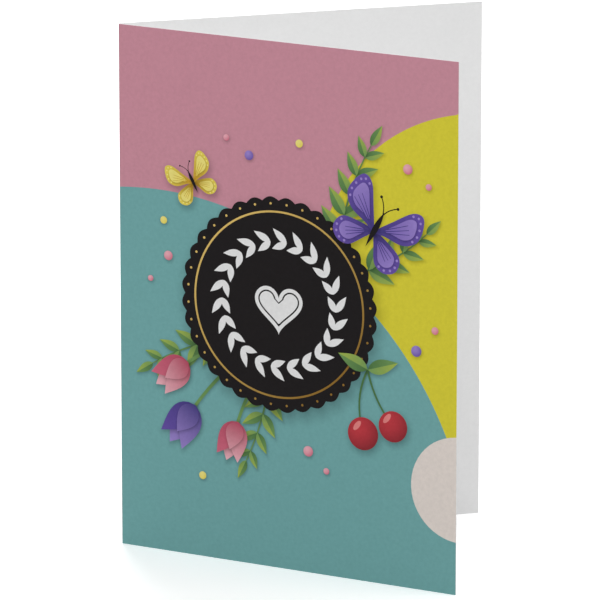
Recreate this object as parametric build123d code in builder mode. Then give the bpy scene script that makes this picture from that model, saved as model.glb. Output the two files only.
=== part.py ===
from build123d import *
import os
from math import cos, radians, sin

# A greeting card: one sheet of stiff board, creased across its middle, folded and stood open.
# It stands on its lower edge, with the fold upright at -X, the mouth towards +X and the front panel at -Y.

# Driving dimensions, in millimetres and degrees
sheet_length = 297.0  # the flat sheet across its crease
sheet_height = 210.0  # the flat sheet along its crease
board_thickness = 0.4
opening_angle = 45.0  # between the two panels as the card stands
fold_inside_radius = 0.6  # the board's inner face where it bends
bead_radius = 0.25  # the half-round ridge that creasing raises on the inside of the fold

# The fold: a bend about an upright axis, which uses up a little of the sheet's length
fold_outside_radius = fold_inside_radius + board_thickness
fold_middle_radius = fold_inside_radius + board_thickness / 2
fold_turn = 180.0 - opening_angle
fold_length = radians(fold_turn) * fold_middle_radius

# The panels: equal halves of what is left of the sheet, square cut
panel_length = (sheet_length - fold_length) / 2

# The fold's axis lies where the standing card's footprint is centred on the origin
half_opening = radians(opening_angle / 2)
mouth_reach = panel_length * cos(half_opening) - fold_inside_radius * sin(half_opening)
fold_axis_x = (fold_outside_radius - mouth_reach) / 2

with BuildPart() as folded_card:
    with BuildSketch(Plane((fold_axis_x, 0, 0))):
        with BuildLine():
            outside_bend = CenterArc((0, 0), fold_outside_radius, 180.0 - fold_turn / 2, fold_turn)
            inside_bend = CenterArc((0, 0), fold_inside_radius, 180.0 - fold_turn / 2, fold_turn)
            for end, onwards in ((0, -panel_length), (1, panel_length)):
                outer_face = Line(outside_bend @ end, outside_bend @ end + onwards * (outside_bend % end))
                inner_face = Line(inside_bend @ end, inside_bend @ end + onwards * (inside_bend % end))
                Line(outer_face @ 1, inner_face @ 1)
        make_face()
        with Locations((-fold_inside_radius, 0)):
            Circle(bead_radius)
    extrude(amount=sheet_height)
folded_card.part.label = "folded_card"

os.makedirs("parts", exist_ok=True)
export_step(folded_card.part, "parts/folded_card.step")
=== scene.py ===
from collections import namedtuple
from math import cos, pi, radians, sin

import bpy
import numpy as np
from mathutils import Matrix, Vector
from mathutils.geometry import delaunay_2d_cdt


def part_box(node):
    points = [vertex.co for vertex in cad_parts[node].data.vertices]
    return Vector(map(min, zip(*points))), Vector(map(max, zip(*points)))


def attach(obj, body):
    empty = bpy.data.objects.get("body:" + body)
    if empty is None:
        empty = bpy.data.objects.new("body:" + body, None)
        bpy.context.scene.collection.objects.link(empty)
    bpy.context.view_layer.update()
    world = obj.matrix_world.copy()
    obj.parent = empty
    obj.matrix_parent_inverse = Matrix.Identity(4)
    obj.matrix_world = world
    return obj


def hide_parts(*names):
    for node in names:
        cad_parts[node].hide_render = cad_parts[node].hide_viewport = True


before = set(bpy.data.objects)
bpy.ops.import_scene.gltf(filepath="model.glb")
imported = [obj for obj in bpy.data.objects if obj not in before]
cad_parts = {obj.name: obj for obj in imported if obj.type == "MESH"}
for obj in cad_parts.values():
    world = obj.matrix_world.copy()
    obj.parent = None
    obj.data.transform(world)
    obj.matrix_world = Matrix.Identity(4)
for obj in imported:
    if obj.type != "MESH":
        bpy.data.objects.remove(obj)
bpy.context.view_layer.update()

# A greeting card: one sheet that is drawn, printed and cut flat in millimetres, and then folded into place.
# On the flat sheet u runs from the crease to the front panel's cut edge, and v runs up from the lower edge.
MM = 0.001

# The board and its fold, as the solid has them, in millimetres and degrees
BOARD_THICKNESS = 0.4
OPENING_ANGLE = 45.0
FOLD_INSIDE_RADIUS = 0.6
BEAD_RADIUS = 0.25

# How finely the sheet is divided, in millimetres: under the print, where it is plain, and beside the bend.
# Each half of the bend has this many strips, and points that lie closer than the weld become one.
PRINT_STEP = 1.2
PLAIN_STEP = 14.0
BEND_MARGIN = 0.6
BEND_STRIPS = 14
WELD = 0.03

# Where faces turn by more than this, in degrees, the edge between them is crisp
CRISP_TURN = 30.0

# Paper and inks, as sRGB hex values
BOARD_WHITE = "E4E4E4"
PINK, TEAL, YELLOW, CREAM = "C58B99", "70A5A5", "D4CA3A", "DFD5CE"
SOFT_BLACK = "181516"
GOLD_LIGHT, GOLD_DEEP = "D9B869", "8A672B"
LILAC, PURPLE, PURPLE_DEEP = "9A85CA", "6650A2", "443C7C"
BLUSH, CORAL, CORAL_DEEP = "E6AEB8", "CC697F", "AE485E"
HONEY_LIGHT, HONEY, HONEY_DEEP = "EBDF86", "E0CE56", "C1932C"
RED_LIGHT, RED, RED_DEEP = "DE8280", "BC3B43", "842A31"
LIME, GREEN, GREEN_DEEP = "A0B24E", "709658", "4A7042"

# Light, middle and deep inks of the motifs that come in more than one colour
TONES = {
    "coral": (BLUSH, CORAL, CORAL_DEEP),
    "purple": (LILAC, PURPLE, PURPLE_DEEP),
    "honey": (HONEY_LIGHT, HONEY, HONEY_DEEP),
}

# Printed drop shadows: how far they fall and spread for each millimetre that a shape seems to stand up
SHADOW_FALL = np.array((0.30, -0.55))
SHADOW_SPREAD = 1.3
SHADOW_DEPTH = 0.5

# Round colour fields over the pink ground: ink, centre and radius
FIELDS = (
    (YELLOW, (163, 115), 76),
    (TEAL, (16, 6), 140),
    (CREAM, (150, 42), 21),
)

# The round badge in the middle of the front panel, and what is printed on it. The wreath's leaves grow in
# pairs, and each leaf of a pair has a lean in degrees and a length.
BADGE_CENTRE = np.array((71.0, 106.0))
BADGE_RADIUS = 43.0
SCALLOPS = 36
SCALLOP_DEPTH = 1.5
RING_RADIUS = 37.4
RING_WIDTH = 0.8
DOT_RADIUS = 0.5
WREATH_RADIUS = 25.0
WREATH_PAIRS = 22
WREATH_LEAVES = ((-34, 8.2), (30, 7.0))
WREATH_LEAF_WIDTH = 2.9
HEART_WIDTH = 21.0
HEART_DROP = 0.8
HEART_BORDER = 1.5
HEART_LINE = 0.6

# Leaf sprigs: foot, heading in degrees, stem, bend in degrees, pairs of leaves and the longest leaf
SPRIGS = (
    ((97, 130), 84, 46, -24, 5, 13.0),
    ((104, 122), 20, 37, 24, 4, 11.5),
    ((50, 90), 192, 38, 20, 4, 12.0),
    ((67, 76), 262, 36, -18, 4, 11.5),
)

# Tulips: foot, heading, stem, bloom and tone
TULIPS = (
    ((48, 88), 204, 20, 18, "coral"),
    ((61, 75), 240, 20, 17, "coral"),
    ((52, 81), 222, 27, 20, "purple"),
)

# Butterflies: centre, the way that they fly, length of a fore wing and tone
BUTTERFLIES = (
    ((113, 141), 60, 22, "purple"),
    ((33, 151), 118, 13, "honey"),
)

# A butterfly's wings, for a fore wing 1 long: points round the edge, with the leading edge on the +v side
HIND_WING = np.array(
    ((0.02, 0.02), (0.30, 0.17), (0.62, 0.24), (0.80, 0.06), (0.74, -0.17), (0.52, -0.26), (0.25, -0.14))
)
FORE_WING = np.array(
    (
        *((0.02, 0.00), (0.42, 0.18), (0.80, 0.32), (1.00, 0.25)),
        *((0.97, 0.02), (0.82, -0.20), (0.54, -0.25), (0.22, -0.10)),
    )
)

# A pair of cherries: the knot that their stems hang from, and a cherry's radius
CHERRY_KNOT = np.array((110.0, 85.0))
CHERRY_RADIUS = 6.6

# Loose dots: tone, centre and radius
CONFETTI = (
    ("coral", (127, 166), 2.0),
    ("coral", (136, 160), 1.3),
    ("coral", (139, 104), 1.5),
    ("purple", (131, 95), 2.2),
    ("coral", (22, 120), 1.9),
    ("coral", (14, 110), 1.2),
    ("honey", (20, 134), 1.5),
    ("honey", (37, 33), 1.6),
    ("coral", (84, 49), 2.1),
    ("coral", (92, 42), 1.3),
    ("purple", (58, 164), 1.9),
    ("coral", (48, 170), 1.3),
    ("honey", (80, 171), 1.6),
)

# Uncoated card's fibres, in millimetres. Real ones are finer, and are drawn this coarse so that they show.
TOOTH_SIZE = 1.5
TOOTH_HEIGHT = 0.02
CLOUD_SIZE = 9.0

# How far the fibres' roughness swings either way, and how little they glint
ROUGHNESS_SWING = 0.05
GLINT = 0.12

# Where each face of the sheet lies on the map of its finish, as two corners. The print gets the most room.
# The cut edge has a strip for each side of the sheet, which fills this share of its room.
INK_MAP, FINISH_MAP = "ink", "OFBake"
FACE_TILES = {
    ("outer", "front"): ((0.002, 0.002), (0.706, 0.998)),
    ("inner", "front"): ((0.715, 0.002), (0.935, 0.330)),
    ("inner", "back"): ((0.715, 0.335), (0.935, 0.663)),
    ("outer", "back"): ((0.715, 0.668), (0.935, 0.998)),
}
EDGE_TILE = ((0.945, 0.002), (0.998, 0.998))
EDGE_FILL = 0.8

# The card's finishes, in the order of its materials
PRINTED, BARE, CUT = range(3)

# The set, in metres and watts: a floor that lights the card less than it shows, even light from all round,
# and soft boxes, each with a name, an azimuth and an elevation in degrees, and its power
FLOOR_SIZE = 8.0
FLOOR_SHINES, FLOOR_SHOWS = 0.45, 1.25
WORLD_LIGHT = 0.32
SOFT_BOX_SIZE = 4.8
SOFT_BOX_DISTANCE = 8.0
SOFT_BOXES = (
    ("front", 25, 35, 345),
    ("left", -60, 35, 155),
    ("right", 90, 35, 120),
    ("behind", 180, 45, 440),
)

# The camera, fitted to the card's corners in the photograph, in degrees, metres and millimetres of lens
CAMERA_AZIMUTH = 5.94
CAMERA_ELEVATION = 14.28
CAMERA_DISTANCE = 2.4693
CAMERA_LENS = 378.9
LOOK_AT = Vector((0.00227, -0.00071, 0.1013))

# The panels take their sizes from the solid's box
low, high = (np.array(corner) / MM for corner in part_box("folded_card"))
fold_outside_radius = FOLD_INSIDE_RADIUS + BOARD_THICKNESS
fold_middle_radius = FOLD_INSIDE_RADIUS + BOARD_THICKNESS / 2
fold_axis_x = low[0] + fold_outside_radius
half_opening = radians(OPENING_ANGLE / 2)
half_turn = pi / 2 - half_opening
half_bend = half_turn * fold_middle_radius
flat_run = (high[0] - fold_axis_x + FOLD_INSIDE_RADIUS * sin(half_opening)) / cos(half_opening)
panel_width = half_bend + flat_run
panel_height = high[2] - low[2]

# A shape of the print: its outline, a function for its ink at points, and how far it seems to stand up
Shape = namedtuple("Shape", "outline ink lift", defaults=(0,))


def linear(hex_colour):
    """An sRGB hex value as linear light."""
    srgb = np.array([int(hex_colour[at : at + 2], 16) / 255 for at in (0, 2, 4)])
    return np.where(srgb <= 0.04045, srgb / 12.92, ((srgb + 0.055) / 1.055) ** 2.4)


# Ways to lay an ink


def even(ink):
    """One ink all over."""
    return lambda points: np.broadcast_to(linear(ink), (*points.shape[:-1], 3))


def graded(start, end, first, last):
    """An ink that passes evenly from first to last along the line from start to end."""
    run = np.subtract(end, start)

    def ink(points):
        share = np.clip((points - start) @ run / (run @ run), 0, 1)[..., None]
        return linear(first) + (linear(last) - linear(first)) * share

    return ink


def domed(centre, radius, middle, rim):
    """An ink from middle at centre to rim at radius, which changes most near the rim, as on a ball."""

    def ink(points):
        share = np.clip(np.linalg.norm(points - centre, axis=-1) / radius, 0, 1)[..., None] ** 1.5
        return linear(middle) + (linear(rim) - linear(middle)) * share

    return ink


# Outlines


def towards(heading, distance=1.0):
    """A step of this length at this heading in degrees."""
    return distance * np.array((cos(radians(heading)), sin(radians(heading))))


def placed(outline, place, heading):
    """An outline drawn along +u from the origin, turned to its heading and moved to its place."""
    return place + outline[:, :1] * towards(heading) + outline[:, 1:] * towards(heading + 90)


def round_outline(centre, radius, chord=1.2, fewest=14):
    """A circle with sides of about this chord, and no fewer than this many."""
    sides = max(fewest, round(2 * pi * radius / chord))
    turns = np.linspace(0, 2 * pi, sides, endpoint=False)
    return centre + radius * np.column_stack((np.cos(turns), np.sin(turns)))


def scalloped_outline(centre, radius, scallops, depth, points_each=7):
    """A circle edged with round scallops."""
    turns = np.linspace(0, 2 * pi, scallops * points_each, endpoint=False)
    reach = radius - depth + depth * np.abs(np.sin(turns * scallops / 2))
    return centre + np.column_stack((reach * np.cos(turns), reach * np.sin(turns)))


def blade_outline(length, width, fullness, points_each=11):
    """A pointed blade from the origin along +u. A fullness under 1 puts its widest part near the origin."""
    along = np.linspace(0, 1, points_each)
    upper = np.column_stack((along * length, width / 2 * np.sin(pi * along**fullness)))
    return np.vstack((upper, upper[-2:0:-1] * (1, -1)))


def smooth_outline(points, steps=5):
    """A closed curve that passes smoothly through a few points."""
    before, here, after, beyond = (np.roll(points, shift, axis=0)[:, None] for shift in (1, 0, -1, -2))
    share = np.linspace(0, 1, steps, endpoint=False)[None, :, None]
    slope = (after - before) / 2
    bend = before - 2.5 * here + 2 * after - beyond / 2
    twist = 1.5 * (here - after) + (beyond - before) / 2
    return (here + slope * share + bend * share**2 + twist * share**3).reshape(-1, 2)


def smaller(outline, share):
    """The same outline drawn smaller about its middle."""
    middle = outline.mean(0)
    return middle + (outline - middle) * share


def inside_outline(points, outline):
    """Which points lie inside an outline, by counting the sides that a ray crosses."""
    inside = np.zeros(len(points), bool)
    near = np.all((points >= outline.min(0)) & (points <= outline.max(0)), axis=1)
    u, v = points[near].T
    odd = np.zeros(len(u), bool)
    for (u0, v0), (u1, v1) in zip(outline, np.roll(outline, -1, axis=0)):
        if v0 != v1:
            odd ^= ((v0 > v) != (v1 > v)) & (u < u0 + (u1 - u0) * (v - v0) / (v1 - v0))
    inside[near] = odd
    return inside


def depth_inside(points, outline):
    """How deep points lie inside an outline, less than 0 outside it."""
    run = np.roll(outline, -1, axis=0) - outline
    offset = points[:, None] - outline
    share = np.clip((offset * run).sum(-1) / (run * run).sum(-1), 0, 1)[..., None]
    distance = np.linalg.norm(offset - share * run, axis=-1).min(1)
    return np.where(inside_outline(points, outline), distance, -distance)


def inset_outline(outline, distance):
    """An outline that runs this far inside another, which is drawn anticlockwise.

    Points that would come nearer to another of its sides are left out, so that sharp corners stay sharp."""
    run = np.roll(outline, -1, axis=0) - np.roll(outline, 1, axis=0)
    inwards = np.column_stack((-run[:, 1], run[:, 0])) / np.linalg.norm(run, axis=1, keepdims=True)
    moved = outline + distance * inwards
    return moved[depth_inside(moved, outline) > 0.99 * distance]


def heart_outline(centre, width, points=96):
    """A heart from the usual sum of cosines, whose width there is 32."""
    turn = np.linspace(2 * pi, 0, points, endpoint=False)
    across = 16 * np.sin(turn) ** 3
    upwards = 13 * np.cos(turn) - 5 * np.cos(2 * turn) - 2 * np.cos(3 * turn) - np.cos(4 * turn)
    return centre + np.column_stack((across, upwards)) * width / 32


def arc_point(place, heading, length, bend, share):
    """The point and the heading at this share of an arc that leaves place and turns by bend degrees."""
    turned = heading + bend * share
    start, now = radians(heading), radians(turned)
    radius = length / radians(bend)
    return place + radius * np.array((sin(now) - sin(start), cos(start) - cos(now))), turned


def strip_outline(place, heading, length, bend, width, end_width, points_each=9):
    """A thin strip along an arc, tapered from width to end_width."""
    left, right = [], []
    for share in np.linspace(0, 1, points_each):
        point, turned = arc_point(place, heading, length, bend, share)
        aside = towards(turned + 90, (width + (end_width - width) * share) / 2)
        left.append(point + aside)
        right.append(point - aside)
    return np.array(left + right[::-1])


# Motifs of the print. Their parts are sized as shares of the motif, and line weights are in millimetres.


def colour_fields():
    """The ground: large round fields over one that covers the front panel, all cut off at its edges."""
    corner = np.array((panel_width, panel_height))
    whole = corner * ((0, 0), (1, 0), (1, 1), (0, 1))
    shapes = [Shape(whole, even(PINK))]
    for ink, centre, radius in FIELDS:
        field = np.clip(round_outline(centre, radius, 2.5), 0, corner)
        shapes.append(Shape(field, even(ink)))
    return shapes


def leaf(foot, heading, length, width, lift):
    """A two-tone leaf, with one half in the shade as if creased along its midrib."""
    tip = foot + towards(heading, length)
    blade = placed(blade_outline(length, width, 0.75), foot, heading)
    shaded_half = blade[: len(blade) // 2 + 1]
    return [
        Shape(blade, graded(foot, tip, GREEN, LIME), lift),
        Shape(shaded_half, graded(foot, tip, GREEN_DEEP, GREEN)),
    ]


def sprig(foot, heading, stem, bend, pairs, longest_leaf):
    """A bent stem with pairs of leaves that shorten towards its tip."""
    tip, tip_heading = arc_point(foot, heading, stem, bend, 1)
    stalk = strip_outline(foot, heading, stem, bend, 1.0, 0.5)
    shapes = [Shape(stalk, graded(foot, tip, GREEN_DEEP, GREEN), lift=0.6)]
    for pair in range(pairs):
        share = (pair + 0.8) / pairs
        joint, turned = arc_point(foot, heading, stem, bend, share * 0.92)
        length = longest_leaf * (1.15 - 0.5 * share)
        for side in (-1, 1):
            shapes += leaf(joint, turned + side * 46, length, length * 0.42, lift=0.9)
    return shapes + leaf(tip, tip_heading, longest_leaf * 0.75, longest_leaf * 0.3, lift=0.9)


def tulip(foot, heading, stem, bloom, tone):
    """A tulip seen from the side: a stem, an inner petal, two that wrap it and a short one in front."""
    light, middle, deep = TONES[tone]
    base, turned = arc_point(foot, heading, stem, 12, 1)
    head = base + towards(turned, bloom)
    stalk = strip_outline(foot, heading, stem + 1, 12, 1.5, 1.3)
    shapes = [Shape(stalk, graded(foot, base, GREEN_DEEP, GREEN), lift=0.8)]
    for lean, length, width, ink, lift in (
        (0, 1.0, 0.62, light, 1.6),
        (-17, 0.98, 0.5, middle, 1.3),
        (17, 0.98, 0.5, light, 1.3),
        (0, 0.72, 0.46, light, 0.9),
    ):
        petal = placed(blade_outline(length * bloom, width * bloom, 0.73), base, turned + lean)
        shapes.append(Shape(petal, graded(base, head, deep, ink), lift))
    return shapes


def butterfly_wing(root, heading, side, points, reach, tone):
    """A wing with a pale middle, three veins and a row of pale spots along its outer edge."""
    light, middle, deep = TONES[tone]
    length = points[:, 0].max() * reach
    tip = root + towards(heading, length)
    edge = placed(smooth_outline(points * (1, -side)) * reach, root, heading)
    shapes = [
        Shape(edge, graded(root, tip, deep, middle), lift=2.2),
        Shape(smaller(edge, 0.64), graded(root, tip, middle, light), lift=0.5),
    ]
    for lean in (-7, 0, 7):
        vein = strip_outline(root, heading + lean, 0.7 * length, 4, 0.02 * reach, 0.01 * reach)
        shapes.append(Shape(vein, even(deep)))
    margin = smaller(edge, 0.82)
    outer_margin = margin[np.linalg.norm(margin - root, axis=1) > 0.76 * length]
    for spot in outer_margin[1::3]:
        shapes.append(Shape(round_outline(spot, 0.024 * reach, 0.4), even(light)))
    return shapes


def butterfly(centre, heading, reach, tone):
    """A butterfly with its wings spread, a dark body and two feelers."""
    root = centre - towards(heading, 0.05 * reach)
    shapes = []
    for points, spread in ((HIND_WING, 122), (FORE_WING, 54)):
        for side in (-1, 1):
            shapes += butterfly_wing(root, heading + side * spread, side, points, reach, tone)
    tail = centre - towards(heading, 0.38 * reach)
    body = placed(blade_outline(0.74 * reach, 0.11 * reach, 1.15), tail, heading)
    shapes.append(Shape(body, even(SOFT_BLACK), lift=0.8))
    brow = centre + towards(heading, 0.30 * reach)
    for side in (-1, 1):
        feeler = (brow, heading + side * 14, 0.34 * reach, side * 40)
        knob, _ = arc_point(*feeler, 1)
        shapes.append(Shape(strip_outline(*feeler, 0.022 * reach, 0.018 * reach), even(SOFT_BLACK)))
        shapes.append(Shape(round_outline(knob, 0.028 * reach, 0.4), even(SOFT_BLACK)))
    return shapes


def cherries(knot, radius):
    """Two cherries on long stems from one knot, under a pair of leaves."""
    shapes = []
    for heading, drop, bend, size in ((-118, 3.3, 40, 1.0), (-78, 3.0, 26, 0.94)):
        dimple, turned = arc_point(knot, heading, drop * radius, bend, 1)
        stem = strip_outline(knot, heading, drop * radius, bend, 0.9, 0.7)
        centre = dimple + towards(turned, 0.72 * radius * size)
        fruit = round_outline(centre, radius * size, 0.8)
        lit_side = radius * np.array((-0.3, 0.35))
        glow = centre + lit_side
        oval = round_outline((0, 0), 0.36 * radius, 0.5) * (1, 0.45)
        shine = placed(oval, centre + 1.3 * lit_side, 52)
        shapes += [
            Shape(stem, even(GREEN_DEEP), lift=0.6),
            Shape(fruit, domed(glow, 1.4 * radius, RED, RED_DEEP), lift=2.2),
            Shape(shine, even(RED_LIGHT)),
        ]
    for heading in (158, 18):
        shapes += leaf(knot, heading, 2.1 * radius, 0.9 * radius, lift=1.2)
    return shapes


def badge():
    """A dark scalloped disc with a fine gold ring, and a gold dot in each scallop."""
    edge = scalloped_outline(BADGE_CENTRE, BADGE_RADIUS, SCALLOPS, SCALLOP_DEPTH)
    corner = towards(135, RING_RADIUS)
    gold = graded(BADGE_CENTRE + corner, BADGE_CENTRE - corner, GOLD_LIGHT, GOLD_DEEP)
    shapes = [
        Shape(edge, even(SOFT_BLACK), lift=4.0),
        Shape(round_outline(BADGE_CENTRE, RING_RADIUS), gold),
        Shape(round_outline(BADGE_CENTRE, RING_RADIUS - RING_WIDTH), even(SOFT_BLACK)),
    ]
    for scallop in range(SCALLOPS):
        heading = 360 * (scallop + 0.5) / SCALLOPS
        centre = BADGE_CENTRE + towards(heading, (RING_RADIUS + BADGE_RADIUS) / 2)
        shapes.append(Shape(round_outline(centre, DOT_RADIUS, 0.3), gold))
    return shapes


def wreath():
    """A wreath of paper-white leaves around a heart with an inner line, which the dark ink leaves free."""
    shapes = []
    for pair in range(WREATH_PAIRS):
        heading = 360 * pair / WREATH_PAIRS
        foot = BADGE_CENTRE + towards(heading, WREATH_RADIUS)
        for lean, length in WREATH_LEAVES:
            blade = placed(blade_outline(length, WREATH_LEAF_WIDTH, 0.8), foot, heading + 90 + lean)
            shapes.append(Shape(blade, even(BOARD_WHITE)))
    heart = heart_outline(BADGE_CENTRE - (0, HEART_DROP), HEART_WIDTH)
    line = inset_outline(heart, HEART_BORDER)
    middle = inset_outline(heart, HEART_BORDER + HEART_LINE)
    for outline, ink in ((heart, BOARD_WHITE), (line, SOFT_BLACK), (middle, BOARD_WHITE)):
        shapes.append(Shape(outline, even(ink)))
    return shapes


def confetti():
    """Loose round dots scattered round the badge."""
    shapes = []
    for tone, centre, radius in CONFETTI:
        light, middle, _ = TONES[tone]
        glow = centre + radius * np.array((-0.3, 0.4))
        dot = round_outline(centre, radius, 0.5)
        shapes.append(Shape(dot, domed(glow, 1.5 * radius, light, middle), lift=0.9))
    return shapes


def artwork():
    """Every shape of the print, from the ground up."""
    shapes = colour_fields()
    for row in SPRIGS:
        shapes += sprig(*row)
    for row in TULIPS:
        shapes += tulip(*row)
    shapes += badge() + wreath()
    for row in BUTTERFLIES:
        shapes += butterfly(*row)
    return shapes + cherries(CHERRY_KNOT, CHERRY_RADIUS) + confetti()


# Cutting, printing and folding the sheet


def staggered(start, end, step):
    """Points in staggered rows over a panel's flat part, from one u to another."""
    across = np.linspace(start, end, round((end - start) / step) + 1)
    upwards = np.linspace(0, panel_height, round(panel_height / step) + 1)
    u, v = np.meshgrid(across, upwards)
    u[1::2] = np.clip(u[1::2] + step / 2, start, end)
    return np.column_stack((u.ravel(), v.ravel()))


def cut_sheet(border, outlines, fill):
    """Divides the flat sheet inside its border into triangles along the bend's strips and the outlines.

    Returns the points, the triangles, and which point each point of the border became."""
    points, edges = [], []

    def draw(line, closed):
        first, last = len(points), len(points) + len(line) - 1
        points.extend(line)
        edges.extend((index, index + 1) for index in range(first, last))
        if closed:
            edges.append((last, first))

    draw(border, True)
    bend_lines = np.linspace(-half_bend, half_bend, 2 * BEND_STRIPS + 1)
    for u in (-half_bend - BEND_MARGIN, *bend_lines, half_bend + BEND_MARGIN):
        draw(((u, 0), (u, panel_height)), False)
    for outline in outlines:
        draw(outline, True)
    points.extend(fill)
    vertices = [Vector(point) for point in points]
    flat, _, triangles, sources, *_ = delaunay_2d_cdt(vertices, edges, [], 0, WELD)
    became = {source: point for point, listed in enumerate(sources) for source in listed}
    return np.array(flat), np.array(triangles), np.array([became[index] for index in range(len(border))])


def shadow_cover(flat, shape):
    """How much of its drop shadow a shape casts on each point, from 0 to 1 with soft edges."""
    spread = shape.lift * SHADOW_SPREAD
    lit = flat - SHADOW_FALL * shape.lift
    lowest, highest = shape.outline.min(0) - spread, shape.outline.max(0) + spread
    near = np.all((lit > lowest) & (lit < highest), axis=1)
    cover = np.zeros(len(flat))
    cover[near] = np.clip(depth_inside(lit[near], shape.outline) / spread / 2 + 0.5, 0, 1)
    return cover**2 * (3 - 2 * cover)


def print_inks(flat, triangles, shapes):
    """The ink at each corner of each triangle, and which triangles carry print."""
    middle = flat[triangles].mean(1)
    on_front = middle[:, 0] > 0
    top = np.full(len(triangles), -1)
    for level, shape in enumerate(shapes):
        top[on_front & inside_outline(middle, shape.outline)] = level
    inks = np.broadcast_to(linear(BOARD_WHITE), (len(triangles), 3, 3)).copy()
    for level, shape in enumerate(shapes):
        inks[top == level] = shape.ink(flat[triangles[top == level]])
    for level, shape in enumerate(shapes):
        if shape.lift:
            shade = 1 - SHADOW_DEPTH * shadow_cover(flat, shape)
            below = (top >= 0) & (top < level)
            inks[below] *= shade[triangles[below]][..., None]
    return inks, top >= 0


def folded(flat, inside):
    """Where points of the flat sheet come to lie on the folded board's outer or inner face, in metres."""
    u, v = flat.T
    turn = np.clip(np.abs(u) / fold_middle_radius, 0, half_turn)
    run = np.clip(np.abs(u) - half_bend, 0, None)
    radius = np.full(len(u), fold_outside_radius)
    if inside:
        clear = BEAD_RADIUS**2 - (FOLD_INSIDE_RADIUS * np.sin(turn)) ** 2
        bead = FOLD_INSIDE_RADIUS * np.cos(turn) - np.sqrt(np.clip(clear, 0, None))
        radius = np.where(clear > 0, bead, FOLD_INSIDE_RADIUS)
    x = fold_axis_x - radius * np.cos(turn) + run * cos(half_opening)
    y = -np.sign(u) * (radius * np.sin(turn) + run * sin(half_opening))
    return np.column_stack((x, y, v + low[2])) * MM


def border_loop(triangles):
    """The points round the outside of the triangles, in order."""
    sides = [tuple(side) for pair in ((0, 1), (1, 2), (2, 0)) for side in triangles[:, pair].tolist()]
    shared = set(sides)
    following = {start: end for start, end in sides if (end, start) not in shared}
    loop = [min(following)]
    while following[loop[-1]] != loop[0]:
        loop.append(following[loop[-1]])
    return np.array(loop)


def face_places(flat, triangles, face):
    """The places of the triangles' corners on the finish map."""
    corners = flat[triangles] / (panel_width, panel_height)
    on_front = corners[..., 0].mean(1) > 0
    corners[~on_front, :, 0] += 1
    places = np.empty_like(corners)
    for panel, chosen in (("front", on_front), ("back", ~on_front)):
        corner, opposite = np.array(FACE_TILES[face, panel])
        places[chosen] = corner + corners[chosen] * (opposite - corner)
    return places.reshape(-1, 2)


def edge_places(border):
    """The places of the cut edge's quads on the finish map: an upright strip for each side of the sheet."""
    corner, opposite = np.array(EDGE_TILE)
    share = border / (2 * panel_width, panel_height) + (0.5, 0)
    places = []
    for start, end in zip(share, np.roll(share, -1, axis=0)):
        along = int(abs(end[1] - start[1]) > abs(end[0] - start[0]))
        strip = 2 * along + int(start[1 - along] > 0.5)
        for point, across in ((end, 0), (start, 0), (start, EDGE_FILL), (end, EDGE_FILL)):
            places.append(corner + (opposite - corner) * ((strip + across) / 4, point[along]))
    return np.array(places)


def make_card(materials):
    """The folded card: the printed outside, the bare inside and back, and the cut edge between them."""
    shapes = artwork()
    corners = np.array((panel_width, panel_height)) * ((-1, 0), (1, 0), (1, 1), (-1, 1))
    front = (half_bend + BEND_MARGIN, panel_width)
    back = (-panel_width, -half_bend - BEND_MARGIN)

    # The outer face, divided along the print's outlines
    fill = np.vstack((staggered(*front, PRINT_STEP), staggered(*back, PLAIN_STEP)))
    outer, outer_triangles, _ = cut_sheet(corners, [shape.outline for shape in shapes], fill)
    loop = border_loop(outer_triangles)

    # The inner face, with the outer one's points round its border, and turned to face the other way
    fill = np.vstack((staggered(*front, PLAIN_STEP), staggered(*back, PLAIN_STEP)))
    fill = fill[(np.abs(fill[:, 0]) < panel_width) & (fill[:, 1] > 0) & (fill[:, 1] < panel_height)]
    inner, inner_triangles, inner_loop = cut_sheet(outer[loop], [], fill)
    inner_triangles = inner_triangles[:, ::-1]
    inner_loop = inner_loop + len(outer)

    # The cut edge, from border to border
    edge = np.column_stack((np.roll(loop, -1), loop, inner_loop, np.roll(inner_loop, -1)))
    faces = [*outer_triangles.tolist(), *(inner_triangles + len(outer)).tolist(), *edge.tolist()]
    mesh = bpy.data.meshes.new("printed_card")
    mesh.from_pydata(np.vstack((folded(outer, False), folded(inner, True))), [], faces)

    # The inks, the places on the finish map and the finishes
    inks, printed = print_inks(outer, outer_triangles, shapes)
    corner_inks = np.ones((len(mesh.loops), 4), np.float32)
    corner_inks[: inks.size // 3, :3] = inks.reshape(-1, 3)
    ink_map = mesh.color_attributes.new(INK_MAP, "FLOAT_COLOR", "CORNER")
    ink_map.data.foreach_set("color", corner_inks.ravel())
    finish_places = np.vstack(
        (
            face_places(outer, outer_triangles, "outer"),
            face_places(inner, inner_triangles, "inner"),
            edge_places(outer[loop]),
        )
    )
    finish_map = mesh.uv_layers.new(name=FINISH_MAP)
    finish_map.uv.foreach_set("vector", finish_places.astype(np.float32).ravel())
    for material in materials:
        mesh.materials.append(material)
    finish = [*np.where(printed, PRINTED, BARE), *[BARE] * len(inner_triangles), *[CUT] * len(edge)]
    mesh.polygons.foreach_set("material_index", np.array(finish, np.int32))
    mesh.shade_smooth()
    mesh.set_sharp_from_angle(angle=radians(CRISP_TURN))

    card = bpy.data.objects.new("printed_card", mesh)
    bpy.context.scene.collection.objects.link(card)
    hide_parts("folded_card")
    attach(card, "root")


# Materials


def add_node(tree, kind, settings=(), inputs=()):
    """Adds a node, sets its own settings, and gives each named input a value or a link."""
    node = tree.nodes.new("ShaderNode" + kind)
    for name, value in dict(settings).items():
        setattr(node, name, value)
    for name, value in dict(inputs).items():
        if isinstance(value, bpy.types.NodeSocket):
            tree.links.new(value, node.inputs[name])
        else:
            node.inputs[name].default_value = value
    return node


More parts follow.
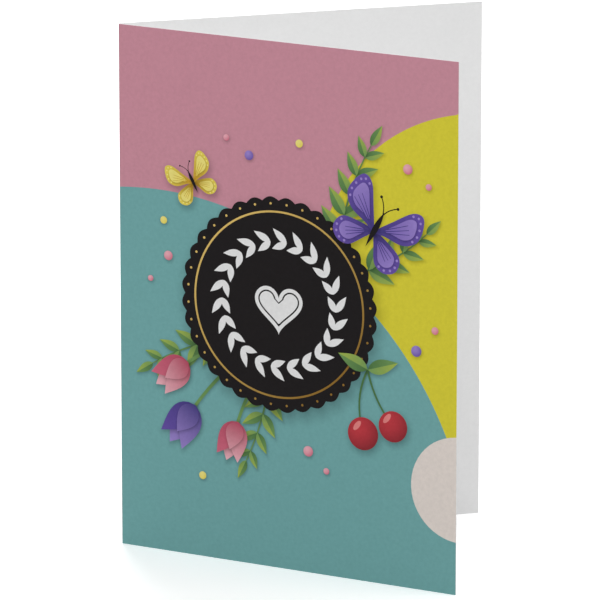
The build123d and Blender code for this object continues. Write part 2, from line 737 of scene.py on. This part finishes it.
def new_material(name):
    """An empty material and its node tree."""
    material = bpy.data.materials.new(name)
    material.use_nodes = True
    material.node_tree.nodes.clear()
    return material, material.node_tree


def uncoated_surface(tree, colour, roughness, tooth_shade, cloud_shade):
    """Felted fibres with no coating: hardly any gloss, a fine tooth and faint clouds."""
    place = add_node(tree, "TexCoord").outputs["Object"]
    levels = []
    # The tooth comes last, because its fibres also give the roughness and the relief
    for size, shade in ((CLOUD_SIZE, cloud_shade), (TOOTH_SIZE, tooth_shade)):
        pattern = {"Vector": place, "Scale": 1 / (size * MM), "Detail": 2.0, "Roughness": 0.6}
        fibres = add_node(tree, "TexNoise", inputs=pattern).outputs["Fac"]
        reach = {"Value": fibres, "To Min": 1 - shade, "To Max": 1 + shade}
        levels.append(add_node(tree, "MapRange", inputs=reach).outputs["Result"])
    level = add_node(tree, "Math", {"operation": "MULTIPLY"}, dict(enumerate(levels))).outputs["Value"]
    shaded = add_node(tree, "HueSaturation", inputs={"Color": colour, "Value": level}).outputs["Color"]
    swing = {"Value": fibres, "To Min": roughness + ROUGHNESS_SWING, "To Max": roughness - ROUGHNESS_SWING}
    tooth_roughness = add_node(tree, "MapRange", inputs=swing).outputs["Result"]
    relief = {"Height": fibres, "Strength": 1.0, "Distance": TOOTH_HEIGHT * MM}
    tooth_normal = add_node(tree, "Bump", inputs=relief).outputs["Normal"]
    surface = add_node(
        tree,
        "BsdfPrincipled",
        inputs={
            "Base Color": shaded,
            "Roughness": tooth_roughness,
            "Specular IOR Level": GLINT,
            "Normal": tooth_normal,
        },
    )
    add_node(tree, "OutputMaterial", inputs={"Surface": surface.outputs["BSDF"]})


def offset_printed_card():
    """Offset print on uncoated card: the ink sinks in, dries flat and matt, and shows the card's tooth."""
    material, tree = new_material("offset_printed_card")
    ink = add_node(tree, "Attribute", {"attribute_name": INK_MAP}).outputs["Color"]
    uncoated_surface(tree, ink, roughness=0.85, tooth_shade=0.095, cloud_shade=0.015)
    return material


def uncoated_white_card():
    """Uncoated white card, as the paper machine leaves it: a soft dead white with hardly any texture."""
    material, tree = new_material("uncoated_white_card")
    white = (*linear(BOARD_WHITE), 1)
    uncoated_surface(tree, white, roughness=0.9, tooth_shade=0.035, cloud_shade=0.02)
    return material


def guillotined_card_edge():
    """The edge that a guillotine leaves: the same white fibres cut across, rougher than the faces."""
    material, tree = new_material("guillotined_card_edge")
    white = (*linear(BOARD_WHITE), 1)
    uncoated_surface(tree, white, roughness=0.92, tooth_shade=0.10, cloud_shade=0.03)
    return material


# The set: a floor that the camera sees as white, soft light and the camera


def seen_directly(tree):
    """A socket that is 1 for what the camera sees, directly, mirrored or through glass, and 0 otherwise."""
    path = add_node(tree, "LightPath").outputs
    seen = path["Is Camera Ray"]
    for ray in ("Is Glossy Ray", "Is Transmission Ray"):
        seen = add_node(tree, "Math", {"operation": "MAXIMUM"}, {0: seen, 1: path[ray]}).outputs["Value"]
    return seen


def make_floor():
    """A plain white floor with the card's shadow on it.

    It looks lighter than the light that it gives back, so that it throws no glare up at the card."""
    half = FLOOR_SIZE / 2
    corners = [(-half, -half, 0), (half, -half, 0), (half, half, 0), (-half, half, 0)]
    mesh = bpy.data.meshes.new("floor")
    mesh.from_pydata(corners, [], [(0, 1, 2, 3)])
    material, tree = new_material("matt_white_floor")
    shades = {"Value": seen_directly(tree), "To Min": FLOOR_SHINES, "To Max": FLOOR_SHOWS}
    shade = add_node(tree, "MapRange", inputs=shades).outputs["Result"]
    surface = add_node(tree, "BsdfDiffuse", inputs={"Color": shade})
    add_node(tree, "OutputMaterial", inputs={"Surface": surface.outputs["BSDF"]})
    mesh.materials.append(material)
    floor = bpy.data.objects.new("floor", mesh)
    bpy.context.scene.collection.objects.link(floor)


def make_world():
    """Even white light from all round. Seen directly, or in a reflection, it is plain white."""
    world = bpy.data.worlds.new("studio")
    world.use_nodes = True
    tree = world.node_tree
    tree.nodes.clear()
    strengths = {"Value": seen_directly(tree), "To Min": WORLD_LIGHT, "To Max": 1.0}
    strength = add_node(tree, "MapRange", inputs=strengths).outputs["Result"]
    light = add_node(tree, "Background", inputs={"Color": (1, 1, 1, 1), "Strength": strength})
    add_node(tree, "OutputWorld", inputs={"Surface": light.outputs["Background"]})
    bpy.context.scene.world = world


def sight_line(azimuth, elevation):
    """The direction from the card to a point seen at this azimuth and elevation, in degrees."""
    turn, rise = radians(azimuth), radians(elevation)
    return Vector((sin(turn) * cos(rise), -cos(turn) * cos(rise), sin(rise)))


def make_soft_box(name, azimuth, elevation, power):
    """A square soft box that faces the card's middle."""
    lamp = bpy.data.lights.new(name, "AREA")
    lamp.size = SOFT_BOX_SIZE
    lamp.energy = power
    soft_box = bpy.data.objects.new(name, lamp)
    direction = sight_line(azimuth, elevation)
    soft_box.location = Vector((0, 0, panel_height * MM / 2)) + direction * SOFT_BOX_DISTANCE
    soft_box.rotation_euler = direction.to_track_quat("Z", "Y").to_euler()
    soft_box.visible_camera = False
    bpy.context.scene.collection.objects.link(soft_box)


def make_camera():
    """A long lens from a little above, turned a little towards the card's open side."""
    lens = bpy.data.cameras.new("camera")
    lens.lens = CAMERA_LENS
    lens.sensor_width = 36.0
    camera = bpy.data.objects.new("camera", lens)
    direction = sight_line(CAMERA_AZIMUTH, CAMERA_ELEVATION)
    camera.location = LOOK_AT + direction * CAMERA_DISTANCE
    camera.rotation_euler = direction.to_track_quat("Z", "Y").to_euler()
    bpy.context.scene.collection.objects.link(camera)
    bpy.context.scene.camera = camera


make_card((offset_printed_card(), uncoated_white_card(), guillotined_card_edge()))
make_floor()
make_world()
for row in SOFT_BOXES:
    make_soft_box(*row)
make_camera()
bpy.context.scene.view_settings.view_transform = "Standard"
